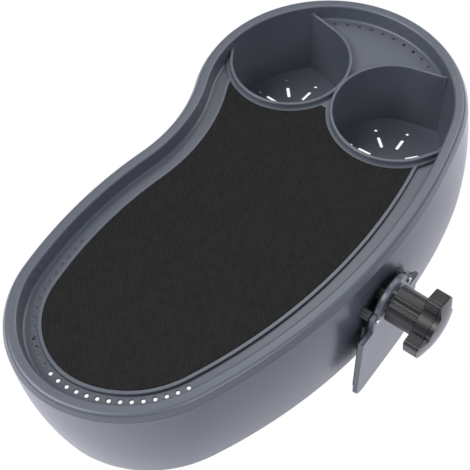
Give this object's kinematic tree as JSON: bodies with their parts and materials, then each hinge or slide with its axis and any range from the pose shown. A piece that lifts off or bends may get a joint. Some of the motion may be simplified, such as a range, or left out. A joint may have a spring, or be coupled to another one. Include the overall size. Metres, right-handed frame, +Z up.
{
  "type": "hot tub tray",
  "caption": "Peanut-shaped clamp-on tray with a rounded rim, drain gutter, matted deck, two deep cup wells and a side compartment, held on a tub wall by a screw-driven jaw.",
  "frame": {"origin": "middle of the flat seat on the outer wall, where the tub's wall is gripped by the jaw", "axes": "+X along the tray towards the cup wells, -Y out of the seat towards the jaw and knob, +Z up"},
  "size_m": [0.395, 0.2583, 0.1242],
  "materials": {
    "tray_plastic": "semi-gloss moulded blue-grey ABS",
    "woven_mat": "black woven vinyl mesh",
    "pad_rubber": "black moulded rubber",
    "knob_plastic": "satin black glass-filled nylon",
    "knob_gloss": "glossy black cover",
    "zinc_steel": "bright zinc-plated steel",
    "insert_brass": "turned brass",
    "bush_nylon": "grey moulded nylon"
  },
  "bodies": {
    "tray": {"inner_tray": "tray_plastic", "outer_shell": "tray_plastic", "deck_mat": "woven_mat", "shell_screw_1": "zinc_steel", "shell_screw_2": "zinc_steel", "shell_screw_3": "zinc_steel", "shell_screw_4": "zinc_steel", "shell_screw_5": "zinc_steel", "shell_screw_6": "zinc_steel", "shell_screw_7": "zinc_steel", "thread_insert": "insert_brass", "reinforcing_plate": "zinc_steel", "guide_bush_left": "bush_nylon", "guide_bush_right": "bush_nylon"},
    "jaw": {"jaw_plate": "tray_plastic", "jaw_pad": "pad_rubber", "guide_pin_left": "zinc_steel", "guide_pin_right": "zinc_steel", "thrust_washer": "zinc_steel"},
    "knob": {"knob_body": "knob_plastic", "knob_cap": "knob_gloss", "clamp_bolt": "zinc_steel", "retaining_ring": "zinc_steel"}
  },
  "joints": [
    {"name": "jaw_slide", "type": "slide", "parent": "tray", "child": "jaw", "axis": [0, -1, 0], "range_m": [0, 0.026]},
    {"name": "knob_turn", "type": "hinge", "parent": "jaw", "child": "knob", "pos_m": [0, -0.0089, 0.0394], "axis": [0, -1, 0], "range_deg": [0, 7490]}
  ],
  "couplings": [
    {"joint": "knob_turn", "follows": "jaw_slide", "rad_per_m": 5026.5}
  ]
}
